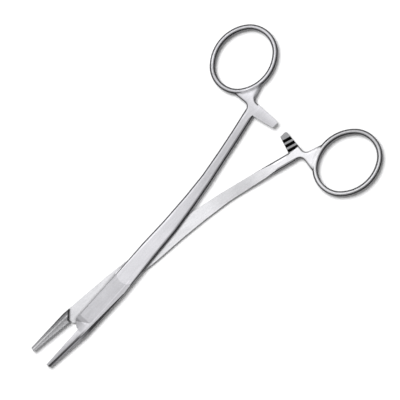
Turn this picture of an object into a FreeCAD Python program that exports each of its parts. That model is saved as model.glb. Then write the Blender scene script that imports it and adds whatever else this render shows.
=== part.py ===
"""Ring-handled needle holder: two forged halves lap over each other at a riveted joint.

Both halves are the same forging. The rear half is the front half turned over about its
own long axis, so each is modelled in one local frame: the rivet axis is Z, the closed
instrument's long axis is X, the jaw points along +X and the ring lies towards -X and -Y.
The underside of the joint and of the rings is Z = 0. A half fills its whole thickness at
the jaw and the shank, and only the upper half of it where the other half passes.
"""
import FreeCAD, Part
import math
import os
import re
import Sketcher
from FreeCAD import Placement, Rotation, Vector

SIZES = {
    # joint
    "joint_thickness": 4.2,
    "lap_clearance": 0.06,
    "rest_half_angle": 4.15,
    "boss_radius": 4.8,
    "boss_step": 0.12,
    # rivet
    "rivet_radius": 1.7,
    "rivet_head_radius": 2.4,
    "rivet_head_depth": 0.8,
    "rivet_clearance": 0.04,
    # shank: stations measured from the rivet towards the ring
    "neck_station": 80.0,
    "neck_centre": 6.5,
    "neck_width": 4.1,
    "upper_station": 70.0,
    "upper_centre": 4.8,
    "upper_width": 4.1,
    "mid_station": 60.0,
    "mid_centre": 3.3,
    "mid_width": 4.2,
    "lower_station": 49.0,
    "lower_centre": 1.75,
    "lower_width": 4.6,
    "crotch_station": 38.0,
    "crotch_centre": 0.8,
    "crotch_width": 5.4,
    "swell_station": 25.0,
    "swell_centre": 0.1,
    "swell_width": 6.5,
    "waist_station": 12.0,
    "waist_width": 7.3,
    "shank_thickness": 3.6,
    "shank_corner": 1.1,
    "lap_start": 53.5,
    "ramp_length": 20.0,
    # plate: stations measured from the rivet towards the jaw
    "plate_station": 8.0,
    "plate_inner": 3.3,
    "plate_outer": 4.4,
    "plate_corner": 0.5,
    "edge_break": 0.25,
    "plate_facet_width": 0.5,
    "plate_facet_drop": 0.35,
    "plate_end": 30.2,
    "end_chamfer": 2.4,
    "shoulder_gap": 0.3,
    "bevel_start": 24.8,
    "bevel_slope": 0.2,
    # jaw
    "jaw_length": 18.8,
    "jaw_root_width": 4.2,
    "jaw_tip_width": 1.9,
    "jaw_tip_height": 2.8,
    "root_facet_width": 1.5,
    "root_facet_drop": 1.0,
    "tip_facet_width": 0.9,
    "tip_facet_drop": 0.6,
    "crown_slope": 0.13,
    "jaw_tip_round": 0.6,
    "jaw_gap": 0.03,
    "serration_pitch": 1.0,
    "serration_depth": 0.22,
    "serration_count": 16,
    # ring: an oval of four arcs, measured on its hole
    "front_ring_distance": 94.5,
    "rear_ring_distance": 95.5,
    "ring_offset": 22.5,
    "hole_half_length": 12.85,
    "hole_half_width": 10.35,
    "hole_end_radius": 9.0,
    "wire_width": 2.1,
    "wire_height": 4.2,
    "wire_corner": 0.95,
    # neck: the web between shank and ring
    "neck_round": 0.8,
    "neck_hollow": 2.2,
    "neck_overlap": 4.0,
    "neck_rise": 1.2,
    "neck_fall": 0.8,
    "notch_reach": 12.5,
    "notch_drop": 0.4,
    "armpit_drop": 2.1,
    "armpit_flare": 7.6,
    "wire_bite": 0.4,
    # ratchet arm
    "arm_station": 82.4,
    "arm_root_width": 4.8,
    "arm_tip_width": 3.2,
    "arm_tip_round": 0.8,
    "arm_root": 4.9,
    "arm_rise": 0.6,
    "arm_tip_fall": 0.25,
    "front_arm_reach": 4.7,
    "rear_arm_reach": 2.9,
    "tooth_pitch": 2.15,
    "gullet_width": 1.3,
    "tooth_depth": 0.9,
    "tooth_count": 3,
    "tooth_slant": 11.0,
    "tooth_clearance": 0.08,
}

THROUGH = "joint_thickness + 2"
MIDDLE = "joint_thickness / 2"
SHOULDER = "(plate_end + shoulder_gap)"
ROOT_RIDGE = "(jaw_root_width - root_facet_width)"
TIP_RIDGE = "(jaw_tip_width - tip_facet_width)"

# How far from a corner its rounded rims lie, as a share of the hollow's radius
RIM_SHARE = 1.2

doc = FreeCAD.newDocument("needle_holder")
sheet = doc.addObject("Spreadsheet::Sheet", "Sizes")
for row, (alias, value) in enumerate(SIZES.items(), start=1):
    sheet.set(f"A{row}", alias)
    sheet.set(f"B{row}", str(value))
    sheet.setAlias(f"B{row}", alias)
doc.recompute()


def size(alias):
    """The number that a cell of the sheet holds."""
    return float(sheet.get(alias))


def named(text):
    """A formula in plain aliases, with each alias pointed at the sheet."""
    return re.sub("[a-z_]+", lambda word: ("Sizes." if word[0] in SIZES else "") + word[0], text)


def number(text):
    """What such a formula comes to."""
    result = sheet.evalExpression(named(text))
    return float(getattr(result, "Value", result))


def origin_part(body, role):
    """The body's own origin plane or axis of that role."""
    for feature in body.Origin.OriginFeatures:
        if feature.Role == role:
            return feature
    raise ValueError(role)


def new_sketch(body, name, plane, offset="0"):
    sketch = body.newObject("Sketcher::SketchObject", name)
    sketch.AttachmentSupport = [(origin_part(body, plane), "")]
    sketch.MapMode = "FlatFace"
    sketch.setExpression("AttachmentOffset.Base.z", named(offset))
    return sketch


def hold_point(sketch, geometry, end, point):
    """Hold one end, or the centre, of an edge at a point given by two formulas."""
    for kind, text in zip(("DistanceX", "DistanceY"), point):
        index = sketch.addConstraint(
            Sketcher.Constraint(kind, -1, 1, geometry, end, number(text)))
        sketch.setExpression(f"Constraints[{index}]", named(text))


def open_outline(sketch, points):
    """Straight edges through points given by formulas."""
    places = [Vector(number(x), number(y), 0) for x, y in points]
    first = len(sketch.Geometry)
    for index in range(len(points) - 1):
        sketch.addGeometry(Part.LineSegment(places[index], places[index + 1]))
        hold_point(sketch, first + index, 1, points[index])
        if index:
            joined = (first + index - 1, 2, first + index, 1)
            sketch.addConstraint(Sketcher.Constraint("Coincident", *joined))
    return first


def outline(sketch, points):
    """A closed outline of straight edges through points given by formulas."""
    first = open_outline(sketch, points + points[:1])
    last = first + len(points) - 1
    sketch.addConstraint(Sketcher.Constraint("Coincident", last, 2, first, 1))


def stepped_section(sketch, centre, width, height, corner):
    """A rectangle about (centre, half the joint thickness), each corner in three steps."""
    points = []
    for side, rise, quarter in (("-", "-", 180), ("+", "-", 270), ("+", "+", 0), ("-", "+", 90)):
        for step in range(4):
            angle = quarter + step * 30
            points.append((f"{centre} {side} ({width} / 2 - {corner}) + {corner} * cos({angle} deg)",
                           f"{MIDDLE} {rise} ({height} / 2 - {corner}) + {corner} * sin({angle} deg)"))
    outline(sketch, points)


def finish_feature(body, feature, cuts=False):
    """Recompute a new feature, and see that a cut has taken something away."""
    before = body.Shape.Volume if cuts else 0
    body.Tip = feature
    doc.recompute()
    if "Invalid" in feature.State:
        raise RuntimeError(feature.Name + " failed")
    if cuts and body.Shape.Volume > before - 1e-6:
        raise RuntimeError(feature.Name + " cuts nothing")
    return feature


def pad(body, name, sketch, length):
    feature = body.newObject("PartDesign::Pad", name)
    feature.Profile = sketch
    feature.setExpression("Length", named(length))
    return finish_feature(body, feature)


def pocket(body, name, sketch, length, both_ways=False):
    """A cut up from the sketch, or the same distance to both sides of it."""
    feature = body.newObject("PartDesign::Pocket", name)
    feature.Profile = sketch
    feature.setExpression("Length", named(length))
    feature.Midplane = both_ways
    feature.Reversed = not both_ways
    return finish_feature(body, feature, cuts=True)


def loft(body, name, sections, cuts=False):
    """Straight faces from section to section, added or cut away."""
    kind = "PartDesign::SubtractiveLoft" if cuts else "PartDesign::AdditiveLoft"
    feature = body.newObject(kind, name)
    feature.Profile = sections[0]
    feature.Sections = sections[1:]
    feature.Ruled = True
    return finish_feature(body, feature, cuts)


def turn(body, name, sketch, axis, angle="360"):
    """Revolve a sketch, the same angle to both sides of it."""
    feature = body.newObject("PartDesign::Revolution", name)
    feature.Profile = sketch
    feature.ReferenceAxis = (sketch, [axis])
    feature.Midplane = True
    feature.setExpression("Angle", named(angle))
    return finish_feature(body, feature)


def repeat(body, name, feature, axis, step, count, backwards=False):
    """Repeat a cut in a row along an axis."""
    row = body.newObject("PartDesign::LinearPattern", name)
    row.Originals = [feature]
    row.Direction = (origin_part(body, axis), [""])
    row.Reversed = backwards
    row.setExpression("Length", named(f"{step} * ({count} - 1)"))
    row.setExpression("Occurrences", named(count))
    return finish_feature(body, row, cuts=True)


def round_edges(body, name, radius, chosen):
    """Round the edges of the body so far for which chosen(edge) holds."""
    base = body.Tip
    edges = [f"Edge{index}" for index, edge in enumerate(base.Shape.Edges, start=1)
             if chosen(edge)]
    feature = body.newObject("PartDesign::Fillet", name)
    feature.Base = (base, edges)
    feature.setExpression("Radius", named(radius))
    return finish_feature(body, feature)


def upright_at(*points):
    """Tells whether an edge stands upright at one of the points given by formulas."""
    places = [(number(x), number(y)) for x, y in points]

    def chosen(edge):
        ends = [vertex.Point for vertex in edge.Vertexes]
        rise = abs(ends[0].z - ends[-1].z)
        return rise > 0.5 and any(
            all(math.hypot(end.x - x, end.y - y) < 0.05 for end in ends) for x, y in places)
    return chosen


def wire_middle(distance, angle):
    """A point near the middle line of the ring's wire, as two formulas."""
    return (f"-{distance} + (hole_half_length + wire_width / 2) * cos({angle} deg)",
            f"-ring_offset + (hole_half_width + wire_width / 2) * sin({angle} deg)")


def add_neck(body, distance):
    """The web between shank and ring, with hollow corners and rounded rims."""
    notch = (f"-{distance} + notch_reach", "-neck_centre - neck_width / 2 - notch_drop")
    armpit = ("-arm_station - arm_root_width / 2", "-neck_centre - armpit_drop")
    points = [
        ("-neck_station + neck_overlap", "-neck_centre + neck_rise"),
        ("-neck_station + neck_overlap", "-neck_centre - neck_fall"),
        notch,
        wire_middle(distance, 21), wire_middle(distance, 44),
        wire_middle(distance, 66), wire_middle(distance, 86),
        ("-arm_station - arm_root_width / 2 - armpit_flare",
         "-ring_offset + hole_half_width + wire_width - wire_bite"),
        armpit,
        ("-arm_station - arm_root_width / 2", "-arm_root"),
        ("-neck_station", "-arm_root"),
    ]
    sketch = new_sketch(body, "neck_outline", "XY_Plane", f"{MIDDLE} - shank_thickness / 2")
    outline(sketch, points)
    pad(body, "neck", sketch, "shank_thickness")
    round_edges(body, "neck_hollows", "neck_hollow", upright_at(notch, armpit))
    corners = [(number(x), number(y)) for x, y in (notch, armpit)]
    reach = size("neck_hollow") * RIM_SHARE

    def on_rim(edge):
        ends = [vertex.Point for vertex in edge.Vertexes]
        level = abs(ends[0].z - ends[-1].z) < 0.01
        return level and any(math.hypot(end.x - x, end.y - y) < reach
                             for end in ends for x, y in corners)
    round_edges(body, "neck_rims", "neck_round", on_rim)


def add_ring(body, distance):
    """The finger ring: its wire's section turned through four arcs that run together."""
    along = "(hole_half_length - hole_end_radius)"
    side_radius = (f"(({along}^2 + hole_half_width^2 - hole_end_radius^2)"
                   " / (2 * (hole_half_width - hole_end_radius)))")
    across = f"({side_radius} - hole_half_width)"
    end_angle = f"2 * atan({across} / {along})"
    arcs = [
        ("joint_end", "XZ_Plane", "ring_offset", f"-{distance} + {along}",
         f"-{distance} + hole_half_length + wire_width / 2", end_angle),
        ("far_end", "XZ_Plane", "ring_offset", f"-{distance} - {along}",
         f"-{distance} - hole_half_length - wire_width / 2", end_angle),
        ("inner_side", "YZ_Plane", f"-{distance}", f"-ring_offset - {across}",
         "-ring_offset + hole_half_width + wire_width / 2", f"180 deg - {end_angle}"),
        ("outer_side", "YZ_Plane", f"-{distance}", f"-ring_offset + {across}",
         "-ring_offset - hole_half_width - wire_width / 2", f"180 deg - {end_angle}"),
    ]
    for name, plane, offset, centre, wire, angle in arcs:
        sketch = new_sketch(body, f"ring_{name}_section", plane, offset)
        stepped_section(sketch, wire, "wire_width", "wire_height", "wire_corner")
        axis = open_outline(sketch, [(centre, "0"), (centre, "joint_thickness")])
        hold_point(sketch, axis, 2, (centre, "joint_thickness"))
        sketch.toggleConstruction(axis)
        turn(body, f"ring_{name}", sketch, "Axis0", angle)


def add_shank(body):
    """The bar from the neck to the joint, lofted through rounded sections."""
    stations = [
        ("neck", "-neck_station", "-neck_centre", "neck_width", "shank_thickness"),
        ("upper", "-upper_station", "-upper_centre", "upper_width", "shank_thickness"),
        ("mid", "-mid_station", "-mid_centre", "mid_width", "shank_thickness"),
        ("lower", "-lower_station", "-lower_centre", "lower_width",
         "(joint_thickness + shank_thickness) / 2"),
        ("crotch", "-crotch_station", "-crotch_centre", "crotch_width", "joint_thickness"),
        ("swell", "-swell_station", "-swell_centre", "swell_width", "joint_thickness"),
        ("waist", "-waist_station", "0", "waist_width", "joint_thickness"),
        ("plate", "plate_station", "(plate_outer - plate_inner) / 2",
         "(plate_outer + plate_inner)", "joint_thickness"),
    ]
    sections = []
    for name, x, centre, width, height in stations:
        sketch = new_sketch(body, f"{name}_section", "YZ_Plane", x)
        corner = "plate_corner" if name == "plate" else "shank_corner"
        stepped_section(sketch, centre, width, height, corner)
        sections.append(sketch)
    loft(body, "shank", sections)


def plate_section(body, name, x, ridge, outer, drop):
    """The plate's section: a broken edge on its inner side, a facet on its outer side."""
    sketch = new_sketch(body, name, "YZ_Plane", x)
    outline(sketch, [
        ("-plate_inner", "edge_break"),
        ("-plate_inner + edge_break", "0"),
        (ridge, "0"),
        (outer, drop),
        (outer, f"joint_thickness - {drop}"),
        (ridge, "joint_thickness"),
        ("-plate_inner + edge_break", "joint_thickness"),
        ("-plate_inner", "joint_thickness - edge_break"),
    ])
    return sketch


def add_plate(body):
    """The flat plate of the joint, whose outer facet widens towards the jaw."""
    start = plate_section(body, "plate_start", "plate_station",
                          "plate_outer - plate_facet_width", "plate_outer",
                          "plate_facet_drop")
    finish = plate_section(body, "plate_finish", SHOULDER, ROOT_RIDGE,
                           "jaw_root_width", "root_facet_drop")
    loft(body, "plate", [start, finish])


def jaw_section(body, name, x, ridge, outer, height, drop):
    """The jaw's section: flat grip face, crowned top and bottom, facets on its back."""
    sketch = new_sketch(body, name, "YZ_Plane", x)
    low, high = f"{MIDDLE} - {height} / 2", f"{MIDDLE} + {height} / 2"
    crown = f"crown_slope * ({ridge} - jaw_gap)"
    outline(sketch, [
        ("jaw_gap", f"{low} + {crown}"),
        (ridge, low),
        (outer, f"{low} + {drop}"),
        (outer, f"{high} - {drop}"),
        (ridge, high),
        ("jaw_gap", f"{high} - {crown}"),
    ])
    return sketch


def add_jaw(body):
    """The jaw, tapering in width and height to its tip."""
    tip_x = f"{SHOULDER} + jaw_length"
    root = jaw_section(body, "jaw_start", SHOULDER, ROOT_RIDGE, "jaw_root_width",
                       "joint_thickness", "root_facet_drop")
    tip = jaw_section(body, "jaw_finish", tip_x, TIP_RIDGE, "jaw_tip_width",
                      "jaw_tip_height", "tip_facet_drop")
    loft(body, "jaw", [root, tip])
    round_edges(body, "jaw_tip", "jaw_tip_round", upright_at((tip_x, "jaw_tip_width")))


def bevel_plate(body):
    """The plate runs out in a sloping facet that meets the jaw's crown in a diagonal."""
    sections = []
    ridge_fall = (f"((plate_outer - plate_facet_width - {ROOT_RIDGE})"
                  f" / ({SHOULDER} - plate_station))")
    for name, run in (("bevel_near", "0.05"), ("bevel_far", f"({SHOULDER} - bevel_start)")):
        sketch = new_sketch(body, name, "YZ_Plane", f"bevel_start + {run}")
        depth = f"(bevel_slope * {run})"
        ridge = f"({ROOT_RIDGE} + {ridge_fall} * ({SHOULDER} - bevel_start - {run}))"
        outline(sketch, [
            ("-plate_inner * 3", f"joint_thickness - {depth}"),
            (f"{ridge} - {depth} / crown_slope", f"joint_thickness - {depth}"),
            (ridge, "joint_thickness"),
            (ridge, "joint_thickness * 2"),
            ("-plate_inner * 3", "joint_thickness * 2"),
        ])
        sections.append(sketch)
    loft(body, "bevel", sections, cuts=True)


def step_boss(body):
    """The face beyond the round boss of the joint lies a little lower, out to the tip."""
    sketch = new_sketch(body, "boss_outline", "XY_Plane", "joint_thickness - boss_step")
    half_turn = math.pi / 2
    circle = Part.Circle(Vector(0, 0, 0), Vector(0, 0, 1), size("boss_radius"))
    arc = sketch.addGeometry(Part.ArcOfCircle(circle, -half_turn, half_turn))
    hold_point(sketch, arc, 3, ("0", "0"))
    reach = f"{SHOULDER} + jaw_length + 1"
    first = open_outline(sketch, [
        ("0", "boss_radius"), ("0", "plate_outer * 3"), (reach, "plate_outer * 3"),
        (reach, "-plate_outer * 3"), ("0", "-plate_outer * 3"), ("0", "-boss_radius")])
    sketch.addConstraint(Sketcher.Constraint("Coincident", arc, 2, first, 1))
    last = first + 4
    sketch.addConstraint(Sketcher.Constraint("Coincident", last, 2, arc, 1))
    sketch.addConstraint(Sketcher.Constraint("PointOnObject", last, 2, -2))
    pocket(body, "boss_cut", sketch, THROUGH)


def cut_lap(body):
    """The lower half goes from the crotch to the shoulder, with a long ramp behind."""
    sketch = new_sketch(body, "lap_outline", "XY_Plane", "-1")
    wide = "plate_outer * 3"
    outline(sketch, [
        ("-lap_start", f"-{wide}"),
        (SHOULDER, f"-{wide}"),
        (SHOULDER, "plate_inner - end_chamfer + shoulder_gap"),
        (f"{SHOULDER} - end_chamfer * 2", "plate_inner + end_chamfer + shoulder_gap"),
        (f"{SHOULDER} - end_chamfer * 2", wide),
        ("-lap_start", wide),
    ])
    floor = f"{MIDDLE} + lap_clearance / 2"
    pocket(body, "lap_cut", sketch, f"{floor} + 1")
    ramp = new_sketch(body, "ramp_profile", "XZ_Plane")
    outline(ramp, [
        ("-lap_start - ramp_length", f"{MIDDLE} - shank_thickness / 2 - 0.1"),
        ("-lap_start + 0.01", floor),
        ("-lap_start + 0.01", "-1"),
        ("-lap_start - ramp_length", "-1"),
    ])
    pocket(body, "ramp_cut", ramp, "plate_outer * 9", both_ways=True)


def trim_plate(body):
    """The plate stops short of the other half's jaw, with its corner cut off."""
    sketch = new_sketch(body, "plate_end_outline", "XY_Plane", "-1")
    outline(sketch, [
        ("plate_end - end_chamfer * 2", "-plate_inner - end_chamfer"),
        ("plate_end", "-plate_inner + end_chamfer"),
        ("plate_end", "jaw_gap"),
        (f"{SHOULDER} + 1", "jaw_gap"),
        (f"{SHOULDER} + 1", "-plate_inner - end_chamfer"),
    ])
    pocket(body, "plate_end_cut", sketch, THROUGH)


def cut_serrations(body):
    """Grooves across the grip face."""
    sketch = new_sketch(body, "serration_outline", "XY_Plane", "-1")
    outline(sketch, [
        (f"{SHOULDER} + serration_pitch - serration_depth", "jaw_gap - 0.05"),
        (f"{SHOULDER} + serration_pitch", "jaw_gap + serration_depth"),
        (f"{SHOULDER} + serration_pitch + serration_depth", "jaw_gap - 0.05"),
    ])
    groove = pocket(body, "serration", sketch, THROUGH)
    repeat(body, "serrations", groove, "X_Axis", "serration_pitch", "serration_count")


def add_arm(body, reach, slant):
    """The ratchet arm, in the upper half of the thickness, with teeth underneath."""
    far = "-arm_station - arm_root_width / 2"
    near = "-arm_station + arm_root_width / 2"
    underside = f"{MIDDLE} + tooth_clearance / 2"
    tip_far, tip_near = (far, reach), (f"{far} + arm_tip_width", f"{reach} - arm_tip_fall")
    sketch = new_sketch(body, "arm_outline", "XY_Plane", underside)
    outline(sketch, [
        (far, "-arm_root - 1"), (near, "-arm_root - 1"), (near, "-arm_root + arm_rise"),
        tip_near, tip_far,
    ])
    pad(body, "arm", sketch, "shank_thickness / 2 - tooth_clearance / 2")
    round_edges(body, "arm_tip", "arm_tip_round", upright_at(tip_far))
    profile = new_sketch(body, "gullet_profile", "YZ_Plane", "-arm_station")
    profile.AttachmentOffset = Placement(profile.AttachmentOffset.Base,
                                         Rotation(Vector(0, 1, 0), number(slant)))
    start = f"{reach} - tooth_pitch"
    outline(profile, [
        (start, underside),
        (f"{start} - gullet_width + 0.1", f"{underside} + tooth_depth"),
        (f"{start} - gullet_width", f"{underside} - 0.05"),
        (start, f"{underside} - 0.05"),
    ])
    gullet = pocket(body, "gullet", profile, "arm_root_width * 1.6", both_ways=True)
    repeat(body, "gullets", gullet, "Y_Axis", "tooth_pitch", "tooth_count", backwards=True)


def cut_rivet_hole(body, clearance):
    """The rivet's bore, opening into a cone at the outer face for its spread head."""
    sketch = new_sketch(body, "rivet_hole_profile", "XZ_Plane")
    radius, head = f"rivet_radius + {clearance}", f"rivet_head_radius + {clearance}"
    outline(sketch, [
        ("0", "0"), (radius, "0"),
        (radius, "joint_thickness - rivet_head_depth"),
        (head, "joint_thickness"), (head, "joint_thickness + 1"),
        ("0", "joint_thickness + 1"),
    ])
    groove = body.newObject("PartDesign::Groove", "rivet_hole")
    groove.Profile = sketch
    groove.ReferenceAxis = (sketch, ["V_Axis"])
    groove.Angle = 360
    finish_feature(body, groove, cuts=True)


def make_half(name, distance, reach, slant, clearance):
    """One forging, in the local frame, with its ring, arm and rivet hole."""
    body = doc.addObject("PartDesign::Body", name)
    body.Label = name
    add_neck(body, distance)
    add_ring(body, distance)
    add_shank(body)
    add_plate(body)
    add_jaw(body)
    cut_lap(body)
    trim_plate(body)
    bevel_plate(body)
    step_boss(body)
    cut_serrations(body)
    add_arm(body, reach, slant)
    cut_rivet_hole(body, clearance)
    return body


def make_rivet():
    """The joint's rivet, spread into a cone at each end and ground flush."""
    body = doc.addObject("PartDesign::Body", "joint_rivet")
    body.Label = "joint_rivet"
    sketch = new_sketch(body, "rivet_profile", "XZ_Plane")
    outline(sketch, [
        ("0", "0"), ("rivet_head_radius", "0"),
        ("rivet_radius", "rivet_head_depth"),
        ("rivet_radius", "joint_thickness - rivet_head_depth"),
        ("rivet_head_radius", "joint_thickness"), ("0", "joint_thickness"),
    ])
    turn(body, "rivet_turned", sketch, "V_Axis")
    return body


upward = Vector(0, 0, 1)
opened = size("rest_half_angle")
front_half = make_half("front_half", "front_ring_distance", "front_arm_reach",
                       "-tooth_slant", "0")
front_half.Placement = Placement(Vector(0, 0, 0), Rotation(upward, opened))
rear_half = make_half("rear_half", "rear_ring_distance", "rear_arm_reach",
                      "tooth_slant", "rivet_clearance")
turned_over = Rotation(upward, -opened).multiply(Rotation(Vector(1, 0, 0), 180))
rear_half.Placement = Placement(Vector(0, 0, size("joint_thickness")), turned_over)
joint_rivet = make_rivet()
doc.recompute()

for item in doc.Objects:
    if "Invalid" in item.State or "Error" in item.State:
        raise RuntimeError(f"{item.Name} failed: {item.State}")

os.makedirs("parts", exist_ok=True)
for body in (front_half, rear_half, joint_rivet):
    shape = body.Shape
    if shape.isNull() or not shape.isValid() or len(shape.Solids) != 1:
        raise RuntimeError(f"{body.Label} is not one sound solid")
    shape.exportStep(f"parts/{body.Label}.step")
    print(body.Label, round(shape.Volume, 3), "mm3")
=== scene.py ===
"""Looks of the needle holder: satin steel on a white table, seen from straight above."""
import math
import bpy
from mathutils import Matrix, Vector


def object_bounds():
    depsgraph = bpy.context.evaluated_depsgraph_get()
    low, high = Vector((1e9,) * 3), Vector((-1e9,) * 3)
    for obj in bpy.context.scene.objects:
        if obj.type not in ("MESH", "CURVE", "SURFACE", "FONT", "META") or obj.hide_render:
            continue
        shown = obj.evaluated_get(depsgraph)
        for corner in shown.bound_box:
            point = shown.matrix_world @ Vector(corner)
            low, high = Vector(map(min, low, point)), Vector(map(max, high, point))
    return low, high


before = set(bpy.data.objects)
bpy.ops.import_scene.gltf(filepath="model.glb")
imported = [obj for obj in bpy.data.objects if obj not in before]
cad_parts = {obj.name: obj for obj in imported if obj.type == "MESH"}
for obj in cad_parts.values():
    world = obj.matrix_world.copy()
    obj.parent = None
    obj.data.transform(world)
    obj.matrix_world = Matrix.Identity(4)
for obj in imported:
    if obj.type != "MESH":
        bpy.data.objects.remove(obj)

cad_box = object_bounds()

MM = 0.001

# Where the photograph shows the part
PHOTO_SIZE = 400
PIVOT_PIXEL = (128.4, 272.7)
MM_PER_PIXEL = 0.4
LONG_AXIS_SLOPE = math.radians(44.1)
CAMERA_DISTANCE = 1.2
CAMERA_REACH = 20.0
SENSOR_WIDTH = 36.0

# Light and surroundings
KEY_PLACE = Vector((-0.06, -0.53, 1.29))
KEY_AIM = Vector((-0.03, 0.0, 0.0))
KEY_SIZE = 0.62
KEY_POWER = 18.5
FLOOR_HALF = 6.0
FLOOR_COLOUR = (0.955, 0.955, 0.96, 1.0)
SKY_TOP = 0.55
SKY_MIDDLE = 0.34
SKY_MIDDLE_HEIGHT = 0.7
SKY_LOW = 0.42
FAR_SIDE_SHARE = 0.7
FAR_SIDE_FADE = (-0.1, 0.6)

# The finish and the painted light and shade follow places in a half's local frame, with x to
# the jaw tip, y across and z up. A fade is the two places between which a mask comes or goes.
# A band is its middle, its half width and the blur beside it.
REST_HALF_ANGLE = math.radians(4.15)
RING_END = -110.0 * MM
JAW_START = 30.5 * MM
JAW_TIP = 49.3 * MM

# Ring and web, where the ring's fades are shares of its outer half length and half width
RING_OUTER_HALVES = (13.9 * MM, 11.4 * MM)
RING_FADE = (1.1, 1.15)
RING_SIDE_FADE = (0.09, 0.9)
BESIDE_RING_FADE = (0.99, 1.03)
WEB_PLACE = (-87.5 * MM, -13.2 * MM, 3.9 * MM)
WEB_FADE = (3.5 * MM, 5.5 * MM)

# Far edge of the shank, and ratchet arm with painted shade in its gullets
FAR_EDGE_RISE = (-68.0 * MM, -58.0 * MM)
FAR_EDGE_FALL = (-12.0 * MM, -4.0 * MM)
FAR_EDGE_NEAR = -2.0 * MM
ARM_NEAR = -79.5 * MM
ARM_ROOT = -4.6 * MM
GULLET_SHADE_FADE_DEPTH = 0.25 * MM

# Joint and plate, with the painted highlight along the plate's ridge and the painted shade at
# the plate's end
BOSS_RADIUS = 4.8 * MM
FLUSH_RADIUS = 5.3 * MM
PLATE_NEAR = -2.9 * MM
PLATE_FAR = 3.4 * MM
PLATE_EDGE_START = 4.0 * MM
PAINTED_HIGHLIGHT_START = 2.0 * MM
PLATE_END_SHADE_BAND = (JAW_START - 1.5 * MM, 1.5 * MM, 0.6 * MM)
PLATE_END_SHADE_FADE = (-0.5 * MM, 2.0 * MM)

# Jaw, with the band of painted shade at its root
SHOULDER_CORNER = 1.2 * MM
NEAR_JAW_FADE = (JAW_START - 5.0 * MM, JAW_START - 1.5 * MM)
ROOT_SHADE_BAND = (JAW_START + 0.2 * MM, 0.25 * MM, 0.2 * MM)

# The ridge along plate and jaw, by its distance from the long axis
RIDGE_START = 8.0 * MM
PLATE_RIDGE = 3.9 * MM
ROOT_RIDGE = 2.7 * MM
TIP_RIDGE = 1.0 * MM

# Painted highlight, painted light along the ridge line and painted shade beside the ridge, by
# the distance from it
PAINTED_HIGHLIGHT_BAND = (-0.35 * MM, 0.1 * MM, 0.2 * MM)
RIDGE_LINE_LAP = 0.05 * MM
RIDGE_LINE_BLUR = 0.2 * MM
INNER_SHADE_FADE = (-2.2 * MM, -0.3 * MM)
FACET_FADE = (0.25 * MM, 0.45 * MM)
RIM_SHADE_FADE = (1.0 * MM, 1.3 * MM)

# Finish of the steel
ROUGHNESS = 0.62
RING_ROUGHNESS = 0.55
EDGE_SOFTNESS = 0.15 * MM
RING_SOFTNESS = 0.6 * MM
WEB_SOFTNESS = 1.6 * MM
EDGE_SAMPLES = 6
NOISE_FADE = (0.3, 0.7)
GRAIN_SCALE = 2600.0
GRAIN_DETAIL = 2.0
GRAIN_STRENGTH = 0.07
CLOUD_SCALE = 170.0
CLOUD_DETAIL = 3.0
CLOUD_TONES = (0.97, 1.02)
BRUSH_SCALE = (160.0, 2600.0, 2600.0)
BRUSH_DETAIL = 3.0
BRUSH_ROUGHNESS = 0.03
GRAIN_RELIEF = 0.6
BRUSH_RELIEF = 0.4
RELIEF_STRENGTH = 0.3
RELIEF_DEPTH = 0.03 * MM

# Tones of painted shade, by which a place is lighter or darker than the plain steel
RING_SHADED_TONE = 0.68
RING_LIT_TONE = 0.75
RING_SLOPE_SHADE_TONE = 0.5
WALL_SHADE_TONE = 0.85
SIDE_SHADE_TONE = 0.24
AWAY_SIDE_SHADE_TONE = 0.3
CREASE_SHADE_TONE = 0.25

# Painted shade on rims by how level a surface lies, from 0 for upright to 1 for level
RIM_SHADE_TONES = [(0.0, WALL_SHADE_TONE), (0.15, WALL_SHADE_TONE), (0.4, SIDE_SHADE_TONE), (0.7, SIDE_SHADE_TONE),
             (0.97, 1.0), (1.0, 1.0)]
WALL_FADE = (0.15, 0.4)
SLOPE_FADE = (0.85, 1.0)

# Painted shade on surfaces by how far they turn away from the lamp, and in creases by how open
# they are within their reach
AWAY_FADE = (0.15, 0.6)
CREASE_FADE = (0.35, 0.95)
CREASE_REACH = 1.2 * MM

# The least tone of a place where the painted shade of rims and creases would make it darker
FLUSH_LEAST = 1.0
WEB_LEAST = 1.0
JAW_LEAST = 0.9
PLATE_EDGE_LEAST = 0.85
NEAR_JAW_LEAST = 0.6

# What differs between the halves. "shank" gives tones at places along the half, in
# millimetres from the rivet. The jaw starts at a slanted "shoulder" and fades in over
# "jaw_blend"; its two faces meet in the ridge line.
# Tones here that paint light into the colour: a painted highlight along the plate's ridge,
# painted shade at the plate's end and on the jaw's inner face, rim and root, a painted line
# along the ridge that is dark on the front half and a highlight on the rear, lighter painted
# shade on the front jaw's outer facet, and painted shade on the ratchet arm and its gullets.
FRONT_LOOK = {
    "colour": (0.487, 0.484, 0.504),
    "ring_place": (-94.5 * MM, -22.5 * MM, 0.0),
    "shank": [(-110, 1.0), (-90, 1.05), (-86, 1.22), (-82, 0.9), (-70, 0.77), (-50, 0.78),
              (-35, 0.9), (-20, 1.02), (49, 1.0)],
    "far_softness": 0.6 * MM,
    "plate": 0.83,
    "plate_painted_highlight": 1.15,
    "plate_end": 0.65,
    "shoulder": 0.0,
    "jaw_blend": 2.5 * MM,
    "jaw_inner_painted_shade": 0.6,
    "jaw_end": 0.8,
    "jaw_facet_painted_light": 2.3,
    "jaw_rim_painted_shade": 0.8,
    "jaw_root_painted_shade": 1.0,
    "jaw_grain": 0.08,
    "ridge_line_painted_light": 0.3,
    "ridge_width": 0.35 * MM,
    "arm": 0.92,
    "gullet": 1.0,
    "gullet_top": 0.0,
}
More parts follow.
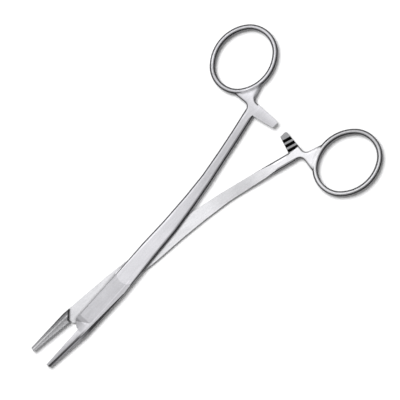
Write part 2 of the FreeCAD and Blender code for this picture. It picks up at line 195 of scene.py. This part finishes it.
REAR_LOOK = {
    "colour": (0.486, 0.485, 0.498),
    "ring_place": (-95.5 * MM, -22.5 * MM, 0.0),
    "shank": [(-110, 1.0), (-92, 1.05), (-86, 1.3), (-68, 1.15), (-59, 0.94), (-49, 0.97),
              (-40, 1.16), (49, 1.0)],
    "far_softness": EDGE_SOFTNESS,
    "plate": 1.0,
    "plate_painted_highlight": 1.0,
    "plate_end": 1.0,
    "shoulder": 1.0,
    "jaw_blend": 0.1 * MM,
    "jaw_inner_painted_shade": 0.52,
    "jaw_end": 1.45,
    "jaw_facet_painted_light": 1.0,
    "jaw_rim_painted_shade": 0.45,
    "jaw_root_painted_shade": 0.2,
    "jaw_grain": 0.3,
    "ridge_line_painted_light": 1.7,
    "ridge_width": 0.15 * MM,
    "arm": 0.4,
    "gullet": 0.2,
    "gullet_top": 2.0 * MM,
}


def photo_directions():
    """The photograph's right and up, as directions of the frame."""
    towards_rings = Vector((-1, 0, 0))
    across = Vector((0, -1, 0))
    right = math.cos(LONG_AXIS_SLOPE) * towards_rings - math.sin(LONG_AXIS_SLOPE) * across
    up = math.sin(LONG_AXIS_SLOPE) * towards_rings + math.cos(LONG_AXIS_SLOPE) * across
    return right, up


def make_camera():
    """A long lens straight above, turned so that the jaws point to the lower left."""
    right, up = photo_directions()
    top = cad_box[1][2]
    middle = PHOTO_SIZE / 2
    across = (middle - PIVOT_PIXEL[0]) * MM_PER_PIXEL * MM
    upward = (PIVOT_PIXEL[1] - middle) * MM_PER_PIXEL * MM
    aim = right * across + up * upward + Vector((0, 0, top))
    data = bpy.data.cameras.new("photo_camera")
    data.sensor_width = SENSOR_WIDTH
    data.lens = SENSOR_WIDTH * CAMERA_DISTANCE / (PHOTO_SIZE * MM_PER_PIXEL * MM)
    data.clip_end = CAMERA_REACH
    camera = bpy.data.objects.new("photo_camera", data)
    turn = Matrix((right, up, Vector((0, 0, 1)))).transposed().to_4x4()
    camera.matrix_world = Matrix.Translation(aim + Vector((0, 0, CAMERA_DISTANCE))) @ turn
    bpy.context.scene.collection.objects.link(camera)
    bpy.context.scene.camera = camera


def make_key_light():
    """One large soft lamp, almost overhead, from the photograph's upper left."""
    data = bpy.data.lights.new("key_light", "AREA")
    data.shape = "DISK"
    data.size = KEY_SIZE
    data.energy = KEY_POWER
    lamp = bpy.data.objects.new("key_light", data)
    lamp.location = KEY_PLACE
    lamp.rotation_euler = (KEY_AIM - KEY_PLACE).to_track_quat("-Z", "Y").to_euler()
    bpy.context.scene.collection.objects.link(lamp)


class Nodes:
    """A short way to write a node tree."""

    def __init__(self, tree):
        self.tree = tree
        tree.nodes.clear()

    def add(self, kind, inputs=None, **settings):
        node = self.tree.nodes.new(kind)
        for key, value in settings.items():
            setattr(node, key, value)
        for key, value in (inputs or {}).items():
            if isinstance(value, bpy.types.NodeSocket):
                self.tree.links.new(value, node.inputs[key])
            else:
                node.inputs[key].default_value = value
        return node

    def maths(self, operation, first, second=0.0):
        return self.add("ShaderNodeMath", {0: first, 1: second},
                        operation=operation).outputs[0]

    def vector_maths(self, operation, first, second):
        return self.add("ShaderNodeVectorMath", {0: first, 1: second},
                        operation=operation).outputs["Vector"]

    def distance(self, first, second=(0.0, 0.0, 0.0)):
        return self.add("ShaderNodeVectorMath", {0: first, 1: second},
                        operation="DISTANCE").outputs["Value"]

    def above(self, value, limit):
        return self.maths("GREATER_THAN", value, limit)

    def below(self, value, limit):
        return self.maths("LESS_THAN", value, limit)

    def product(self, *values):
        result = values[0]
        for value in values[1:]:
            result = self.maths("MULTIPLY", result, value)
        return result

    def spread(self, value, start, end, low=0.0, high=1.0):
        """Map a value's range onto another, held at both ends."""
        return self.add("ShaderNodeMapRange", {"Value": value, "From Min": start,
                                               "From Max": end, "To Min": low,
                                               "To Max": high}).outputs[0]

    def fall(self, value, start, end):
        """1 up to the start, fading to 0 at the end."""
        return self.spread(value, start, end, 1.0, 0.0)

    def band(self, value, middle, half_width, blur):
        """1 within half_width of the middle, fading to 0 over the blur."""
        away = self.maths("ABSOLUTE", self.maths("SUBTRACT", value, middle))
        return self.fall(away, half_width, half_width + blur)

    def ramp(self, factor, stops):
        """A value looked up between stops, which are given in order."""
        node = self.add("ShaderNodeValToRGB", {"Fac": factor})
        elements = node.color_ramp.elements
        elements[0].position = stops[0][0]
        elements[1].position = stops[-1][0]
        for place, _ in stops[1:-1]:
            elements.new(place)
        for element, (_, level) in zip(elements, stops):
            element.color = (level, level, level, 1)
        return node.outputs["Color"]

    def noise(self, place, scale, detail):
        return self.add("ShaderNodeTexNoise", {"Vector": place, "Scale": scale,
                                               "Detail": detail}).outputs[0]

    def toned(self, level, mask, tone):
        """Multiply a level by a tone where the mask is 1."""
        factor = self.maths("MULTIPLY_ADD", mask, tone - 1.0)
        factor.node.inputs[2].default_value = 1.0
        return self.maths("MULTIPLY", level, factor)


def make_world():
    """A studio that is brightest overhead, and dimmer on the far side."""
    world = bpy.data.worlds.new("studio")
    bpy.context.scene.world = world
    world.use_nodes = True
    nodes = Nodes(world.node_tree)
    direction = nodes.add("ShaderNodeTexCoord").outputs["Generated"]
    parts = nodes.add("ShaderNodeSeparateXYZ", {0: direction})
    sky = nodes.ramp(parts.outputs["Z"], [(0.0, SKY_LOW), (SKY_MIDDLE_HEIGHT, SKY_MIDDLE),
                                          (1.0, SKY_TOP)])
    side = nodes.spread(parts.outputs["Y"], *FAR_SIDE_FADE, 1.0, FAR_SIDE_SHARE)
    light = nodes.add("ShaderNodeBackground", {"Color": sky, "Strength": side})
    nodes.add("ShaderNodeOutputWorld", {"Surface": light.outputs[0]})


def make_floor():
    """The white table, which keeps the soft shadow."""
    mesh = bpy.data.meshes.new("table")
    reach = FLOOR_HALF
    corners = [(-reach, -reach, 0), (reach, -reach, 0), (reach, reach, 0), (-reach, reach, 0)]
    mesh.from_pydata(corners, [], [(0, 1, 2, 3)])
    floor = bpy.data.objects.new("table", mesh)
    floor.location.z = cad_box[0][2]
    bpy.context.scene.collection.objects.link(floor)
    material = bpy.data.materials.new("white_table")
    material.use_nodes = True
    nodes = Nodes(material.node_tree)
    paper = nodes.add("ShaderNodeBsdfDiffuse", {"Color": FLOOR_COLOUR})
    nodes.add("ShaderNodeOutputMaterial", {"Surface": paper.outputs[0]})
    mesh.materials.append(material)


class Half:
    """Where a point of one half lies, in the half's own local frame."""

    def __init__(self, nodes, side, look):
        self.nodes = nodes
        self.side = side
        self.look = look
        self.place = nodes.add("ShaderNodeTexCoord").outputs["Object"]
        turned = {"Vector": self.place, "Scale": (1, side, 1),
                  "Rotation": (0, 0, -REST_HALF_ANGLE)}
        self.local = nodes.add("ShaderNodeMapping", turned).outputs[0]
        parts = nodes.add("ShaderNodeSeparateXYZ", {0: self.local})
        self.x = parts.outputs["X"]
        self.y = parts.outputs["Y"]
        self.z = parts.outputs["Z"]
        self.find_joint()
        self.find_ring()
        self.find_jaw()

    def find_joint(self):
        """The boss, which is ground flush with its rivet, and the plate's near edge."""
        nodes = self.nodes
        squares = nodes.maths("ADD", nodes.product(self.x, self.x),
                              nodes.product(self.y, self.y))
        self.reach = nodes.maths("SQRT", squares)
        self.flush = nodes.product(nodes.below(self.reach, FLUSH_RADIUS),
                                   nodes.above(self.y, PLATE_NEAR),
                                   nodes.below(self.y, PLATE_FAR))
        self.plate_edge = nodes.product(nodes.above(self.x, PLATE_EDGE_START),
                                        nodes.below(self.y, PLATE_NEAR))

    def find_ring(self):
        """The ring, as shares of its outer half length and half width, and its web."""
        nodes = self.nodes
        from_ring = nodes.vector_maths("SUBTRACT", self.local, self.look["ring_place"])
        half_length, half_width = RING_OUTER_HALVES
        squeezed = nodes.vector_maths("MULTIPLY", from_ring,
                                      (1 / half_length, 1 / half_width, 0.0))
        share = nodes.distance(squeezed)
        self.ring_across = nodes.add("ShaderNodeSeparateXYZ", {0: squeezed}).outputs["Y"]
        self.on_ring = nodes.fall(share, *RING_FADE)
        from_web = nodes.distance(self.local, WEB_PLACE)
        self.on_web = nodes.product(nodes.fall(from_web, *WEB_FADE),
                                    nodes.spread(share, *BESIDE_RING_FADE))

    def find_jaw(self):
        """The jaw, from the shoulder where the other half's plate ends, and its ridge."""
        nodes = self.nodes
        slant = nodes.maths("MAXIMUM", nodes.maths("SUBTRACT", self.y, SHOULDER_CORNER), 0.0)
        self.along = nodes.maths("ADD", self.x, nodes.product(slant, self.look["shoulder"]))
        blend = self.look["jaw_blend"]
        self.on_jaw = nodes.spread(self.along, JAW_START - blend, JAW_START + blend)
        self.near_jaw = nodes.spread(self.x, *NEAR_JAW_FADE)
        on_plate = nodes.spread(self.x, RIDGE_START, JAW_TIP, PLATE_RIDGE, TIP_RIDGE)
        on_jaw = nodes.spread(self.x, JAW_START, JAW_TIP, ROOT_RIDGE, TIP_RIDGE)
        ridge = nodes.maths("MINIMUM", on_plate, on_jaw)
        self.from_ridge = nodes.maths("SUBTRACT", self.y, ridge)


def soft_normal(half):
    """Normals softened at edges, rounder on the ring and blended where the neck meets it."""
    nodes = half.nodes
    far_edge = nodes.product(nodes.spread(half.x, *FAR_EDGE_RISE),
                             nodes.fall(half.x, *FAR_EDGE_FALL),
                             nodes.above(half.y, FAR_EDGE_NEAR))
    softness = EDGE_SOFTNESS
    for mask, most in ((half.on_ring, RING_SOFTNESS), (half.on_web, WEB_SOFTNESS),
                       (far_edge, half.look["far_softness"])):
        softness = nodes.maths("MAXIMUM", softness, nodes.product(mask, most))
    softness = nodes.product(softness, nodes.maths("SUBTRACT", 1.0, half.flush))
    bevel = nodes.add("ShaderNodeBevel", {"Radius": softness}, samples=EDGE_SAMPLES)
    return bevel.outputs[0]


def painted_edge_shade(half, normal):
    """Painted shade: rounded rims, most of all those away from the lamp, and creases are
    darker.
    """
    nodes = half.nodes
    parts = nodes.add("ShaderNodeSeparateXYZ", {0: normal})
    flatness = nodes.maths("ABSOLUTE", parts.outputs["Z"])
    not_wall = nodes.spread(flatness, *WALL_FADE)
    away = nodes.product(not_wall, nodes.spread(parts.outputs["Y"], *AWAY_FADE))
    # Painted shade on the ring's sloping shoulders
    ring_slope_shade = nodes.product(half.on_ring, not_wall, nodes.fall(flatness, *SLOPE_FADE))
    tone = nodes.ramp(flatness, RIM_SHADE_TONES)
    tone = nodes.toned(tone, away, AWAY_SIDE_SHADE_TONE)
    tone = nodes.toned(tone, ring_slope_shade, RING_SLOPE_SHADE_TONE)
    hollow = nodes.add("ShaderNodeAmbientOcclusion", {"Distance": CREASE_REACH},
                       samples=EDGE_SAMPLES)
    crease_shade = nodes.spread(hollow.outputs["AO"], *CREASE_FADE, CREASE_SHADE_TONE, 1.0)
    tone = nodes.product(tone, crease_shade)
    for mask, least in ((half.flush, FLUSH_LEAST), (half.plate_edge, PLATE_EDGE_LEAST),
                        (half.near_jaw, NEAR_JAW_LEAST), (half.on_jaw, JAW_LEAST),
                        (half.on_web, WEB_LEAST)):
        tone = nodes.maths("MAXIMUM", tone, nodes.product(mask, least))
    return tone


def shank_share(place):
    """A place along the part, in millimetres, as a share of the way from ring to jaw tip."""
    return (place * MM - RING_END) / (JAW_TIP - RING_END)


def shank_tone(half):
    """The tone along the whole half."""
    stops = [(shank_share(place), tone) for place, tone in half.look["shank"]]
    return half.nodes.ramp(half.nodes.spread(half.x, RING_END, JAW_TIP), stops)


def plate_tones(half):
    """Masks and tones of the joint's plate, of the painted highlight along its ridge and of
    the painted shade at its end.
    """
    nodes = half.nodes
    look = half.look
    before_jaw = nodes.below(half.x, JAW_START)
    beyond_boss = nodes.product(nodes.above(half.reach, BOSS_RADIUS),
                                nodes.above(half.x, 0.0), before_jaw)
    painted_highlight = nodes.product(nodes.above(half.x, PAINTED_HIGHLIGHT_START), before_jaw,
                          nodes.band(half.from_ridge, *PAINTED_HIGHLIGHT_BAND))
    end = nodes.product(nodes.band(half.x, *PLATE_END_SHADE_BAND),
                        nodes.fall(half.y, *PLATE_END_SHADE_FADE))
    return [(beyond_boss, look["plate"]), (painted_highlight, look["plate_painted_highlight"]),
            (end, look["plate_end"])]


def jaw_tones(half):
    """Masks and tones of the jaw's root and tip, its ridge line and what lies beside it:
    painted shade at the root, on the inner face and on the rim, a painted dark line along the
    ridge on the front half and a painted highlight there on the rear half, and a lighter
    painted shade on the front's outer facet.
    """
    nodes = half.nodes
    look = half.look
    width = look["ridge_width"]
    ridge_light_line = nodes.band(half.from_ridge, width - RIDGE_LINE_LAP, width, RIDGE_LINE_BLUR)
    on_jaw = [(nodes.spread(half.from_ridge, *INNER_SHADE_FADE), look["jaw_inner_painted_shade"]),
              (nodes.spread(half.x, JAW_START, JAW_TIP), look["jaw_end"]),
              (ridge_light_line, look["ridge_line_painted_light"]),
              (nodes.spread(half.from_ridge, *FACET_FADE), look["jaw_facet_painted_light"]),
              (nodes.spread(half.from_ridge, *RIM_SHADE_FADE), look["jaw_rim_painted_shade"])]
    tones = [(nodes.product(half.on_jaw, mask), tone) for mask, tone in on_jaw]
    tones.append((nodes.band(half.along, *ROOT_SHADE_BAND), look["jaw_root_painted_shade"]))
    return tones


def arm_tones(half):
    """Masks and tones of painted shade on the ratchet arm and in the gullets between its
    teeth.
    """
    nodes = half.nodes
    arm = nodes.product(nodes.below(half.x, ARM_NEAR), nodes.above(half.y, ARM_ROOT))
    top = half.look["gullet_top"]
    gullet = nodes.product(arm, nodes.fall(half.z, top - GULLET_SHADE_FADE_DEPTH, top))
    return [(arm, half.look["arm"]), (gullet, half.look["gullet"])]


def ring_tones(half):
    """Masks and tones of painted shade on the ring's shaded and lit long sides."""
    nodes = half.nodes
    across = nodes.product(half.ring_across, half.side)
    start, end = RING_SIDE_FADE
    return [(nodes.product(half.on_ring, nodes.spread(across, sign * start, sign * end)), tone)
            for sign, tone in ((-1, RING_SHADED_TONE), (1, RING_LIT_TONE))]


def satin_steel(name, side, look):
    """Bead-blasted stainless steel, with painted shade and painted highlights, in one half's
    local frame; side is -1 for the rear half.
    """
    material = bpy.data.materials.new(name)
    material.use_nodes = True
    nodes = Nodes(material.node_tree)
    half = Half(nodes, side, look)
    normal = soft_normal(half)

    # Grain of the blasting, clouds, and faint brushing
    grain = nodes.noise(half.place, GRAIN_SCALE, GRAIN_DETAIL)
    cloud = nodes.noise(half.place, CLOUD_SCALE, CLOUD_DETAIL)
    streaks = nodes.add("ShaderNodeMapping", {"Vector": half.local, "Scale": BRUSH_SCALE})
    brush = nodes.noise(streaks.outputs[0], 1.0, BRUSH_DETAIL)
    strength = nodes.spread(half.on_jaw, 0.0, 1.0, GRAIN_STRENGTH, look["jaw_grain"])
    speckle = nodes.product(nodes.spread(grain, *NOISE_FADE, -1.0, 1.0), strength)
    mottle = nodes.maths("ADD", nodes.spread(cloud, *NOISE_FADE, *CLOUD_TONES), speckle)

    # Colour, with painted shade and painted highlights
    level = shank_tone(half)
    for mask, tone in plate_tones(half) + jaw_tones(half) + arm_tones(half) + ring_tones(half):
        level = nodes.toned(level, mask, tone)
    # Painted shade on rims and in creases
    level = nodes.product(level, mottle, painted_edge_shade(half, normal))
    shade = nodes.add("ShaderNodeVectorMath", {0: look["colour"], "Scale": level},
                      operation="SCALE")

    # Roughness and relief
    brushed = nodes.spread(brush, *NOISE_FADE, -BRUSH_ROUGHNESS, BRUSH_ROUGHNESS)
    polish = nodes.spread(half.on_ring, 0.0, 1.0, ROUGHNESS, RING_ROUGHNESS)
    dullness = nodes.maths("ADD", brushed, polish)
    relief = nodes.maths("ADD", nodes.product(grain, GRAIN_RELIEF),
                         nodes.product(brush, BRUSH_RELIEF))
    bump = nodes.add("ShaderNodeBump", {"Height": relief, "Strength": RELIEF_STRENGTH,
                                        "Distance": RELIEF_DEPTH, "Normal": normal})

    shader = nodes.add("ShaderNodeBsdfPrincipled",
                       {"Base Color": shade.outputs[0], "Metallic": 1.0,
                        "Roughness": dullness, "Normal": bump.outputs[0]})
    nodes.add("ShaderNodeOutputMaterial", {"Surface": shader.outputs[0]})
    return material


def dress(node, material):
    """Give a solid of the frame its finish."""
    piece = bpy.data.objects[node]
    for slot in piece.material_slots:
        slot.material = material


make_camera()
make_key_light()
make_world()
make_floor()
bpy.context.scene.view_settings.view_transform = "Standard"

front_steel = satin_steel("front_steel", 1, FRONT_LOOK)
dress("front_half", front_steel)
dress("joint_rivet", front_steel)
dress("rear_half", satin_steel("rear_steel", -1, REAR_LOOK))
